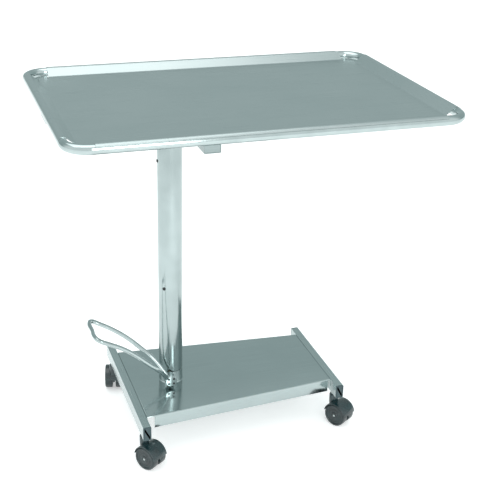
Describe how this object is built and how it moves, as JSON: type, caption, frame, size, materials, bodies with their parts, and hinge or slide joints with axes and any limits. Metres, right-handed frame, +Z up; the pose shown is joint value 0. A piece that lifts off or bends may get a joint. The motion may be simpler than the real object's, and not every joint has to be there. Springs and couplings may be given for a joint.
{
  "type": "overbed table",
  "caption": "Height-adjustable overbed instrument table: lift-off sheet tray on a round-tube frame, telescopic column with foot pedal, tapered base plate on swivel castors.",
  "frame": {"origin": "on the floor below the middle of the tray", "axes": "+X along the tray towards the end far from the column, +Y across it away from the pedal's side, +Z up"},
  "size_m": [0.92, 0.64, 0.8775],
  "materials": {
    "satin_sheet": "satin stainless sheet",
    "polished_tube": "polished stainless tube",
    "box_steel": "brushed stainless box section",
    "fastener_steel": "zinc-plated",
    "shaft_steel": "ground steel",
    "guide_plastic": "natural acetal",
    "bush_bronze": "sintered bronze",
    "pad_rubber": "matt black rubber",
    "cap_plastic": "moulded dark grey",
    "castor_plastic": "moulded teal-black nylon",
    "wheel_plastic": "moulded teal-black nylon"
  },
  "bodies": {
    "base": {"base_plate": "satin_sheet", "side_member_left": "box_steel", "side_member_right": "box_steel", "member_end_caps": "cap_plastic", "foot_flange": "box_steel", "foot_studs": "fastener_steel", "foot_nuts": "fastener_steel", "castor_sockets": "fastener_steel", "castor_stems": "fastener_steel", "inner_column": "polished_tube", "column_collar": "polished_tube", "upper_guide_ring": "guide_plastic", "pump_block": "shaft_steel", "ram_cylinder": "shaft_steel", "cylinder_gland": "shaft_steel", "shaft_bush": "bush_bronze", "plunger_spring": "shaft_steel"},
    "lift": {"outer_column": "polished_tube", "guide_screws": "fastener_steel", "column_top_plug": "polished_tube", "swivel_spindle": "shaft_steel", "thrust_washer": "guide_plastic", "lower_guide_bush": "guide_plastic", "ram_rod": "shaft_steel", "ram_piston": "shaft_steel"},
    "head": {"tray_frame": "polished_tube", "rest_pads": "pad_rubber", "cross_rail": "box_steel", "long_beam_left": "box_steel", "long_beam_right": "box_steel", "head_plate": "box_steel", "head_bolts": "fastener_steel", "head_nuts": "fastener_steel", "head_hub": "polished_tube", "hub_lock_screw": "fastener_steel"},
    "tray": {"tray_sheet": "satin_sheet"},
    "pedal": {"pedal_loop": "polished_tube", "pedal_hub": "polished_tube", "pedal_shaft": "shaft_steel", "pump_crank": "shaft_steel", "hub_cover": "polished_tube", "cover_screws": "fastener_steel"},
    "plunger": {"pump_plunger": "shaft_steel"},
    "castor_front_left": {"castor_hood_front_left": "castor_plastic"},
    "wheels_front_left": {"castor_axle_front_left": "shaft_steel", "castor_wheel_a_front_left": "wheel_plastic", "castor_wheel_b_front_left": "wheel_plastic"},
    "castor_front_right": {"castor_hood_front_right": "castor_plastic"},
    "wheels_front_right": {"castor_axle_front_right": "shaft_steel", "castor_wheel_a_front_right": "wheel_plastic", "castor_wheel_b_front_right": "wheel_plastic"},
    "castor_back_left": {"castor_hood_back_left": "castor_plastic"},
    "wheels_back_left": {"castor_axle_back_left": "shaft_steel", "castor_wheel_a_back_left": "wheel_plastic", "castor_wheel_b_back_left": "wheel_plastic"},
    "castor_back_right": {"castor_hood_back_right": "castor_plastic"},
    "wheels_back_right": {"castor_axle_back_right": "shaft_steel", "castor_wheel_a_back_right": "wheel_plastic", "castor_wheel_b_back_right": "wheel_plastic"}
  },
  "joints": [
    {"name": "column_lift", "type": "slide", "parent": "base", "child": "lift", "axis": [0, 0, 1], "range_m": [0, 0.38]},
    {"name": "head_swivel", "type": "hinge", "parent": "lift", "child": "head", "pos_m": [-0.16, 0, 0.8], "axis": [0, 0, 1], "continuous": true},
    {"name": "tray_lift_off", "type": "slide", "parent": "head", "child": "tray", "axis": [0, 0, 1], "range_m": [0, 0.12]},
    {"name": "pedal_press", "type": "hinge", "parent": "base", "child": "pedal", "pos_m": [-0.173, -0.043, 0.144], "axis": [0, -1, 0], "range_deg": [0, 30], "stiffness_Nm_per_rad": 3, "springref_deg": -34.38},
    {"name": "plunger_slide", "type": "slide", "parent": "base", "child": "plunger", "axis": [0, 0, 1], "range_m": [0, 0.009], "deforming": ["plunger_spring"]},
    {"name": "swivel_front_left", "type": "hinge", "parent": "base", "child": "castor_front_left", "pos_m": [-0.274, -0.177, 0.07], "axis": [0, 0, 1], "continuous": true},
    {"name": "spin_front_left", "type": "hinge", "parent": "castor_front_left", "child": "wheels_front_left", "pos_m": [-0.26253, -0.19338, 0.03], "axis": [0.8192, 0.5736, 0], "continuous": true},
    {"name": "swivel_front_right", "type": "hinge", "parent": "base", "child": "castor_front_right", "pos_m": [0.247, -0.13, 0.07], "axis": [0, 0, 1], "continuous": true},
    {"name": "spin_front_right", "type": "hinge", "parent": "castor_front_right", "child": "wheels_front_right", "pos_m": [0.2576, -0.14696, 0.03], "axis": [0.848, 0.5299, 0], "continuous": true},
    {"name": "swivel_back_left", "type": "hinge", "parent": "base", "child": "castor_back_left", "pos_m": [-0.274, 0.177, 0.07], "axis": [0, 0, 1], "continuous": true},
    {"name": "spin_back_left", "type": "hinge", "parent": "castor_back_left", "child": "wheels_back_left", "pos_m": [-0.26882, 0.19632, 0.03], "axis": [-0.9659, 0.2588, 0], "continuous": true},
    {"name": "swivel_back_right", "type": "hinge", "parent": "base", "child": "castor_back_right", "pos_m": [0.247, 0.13, 0.07], "axis": [0, 0, 1], "continuous": true},
    {"name": "spin_back_right", "type": "hinge", "parent": "castor_back_right", "child": "wheels_back_right", "pos_m": [0.24182, 0.14932, 0.03], "axis": [-0.9659, -0.2588, 0], "continuous": true}
  ],
  "couplings": [
    {"joint": "plunger_slide", "follows": "pedal_press", "m_per_rad": 0.016806}
  ]
}
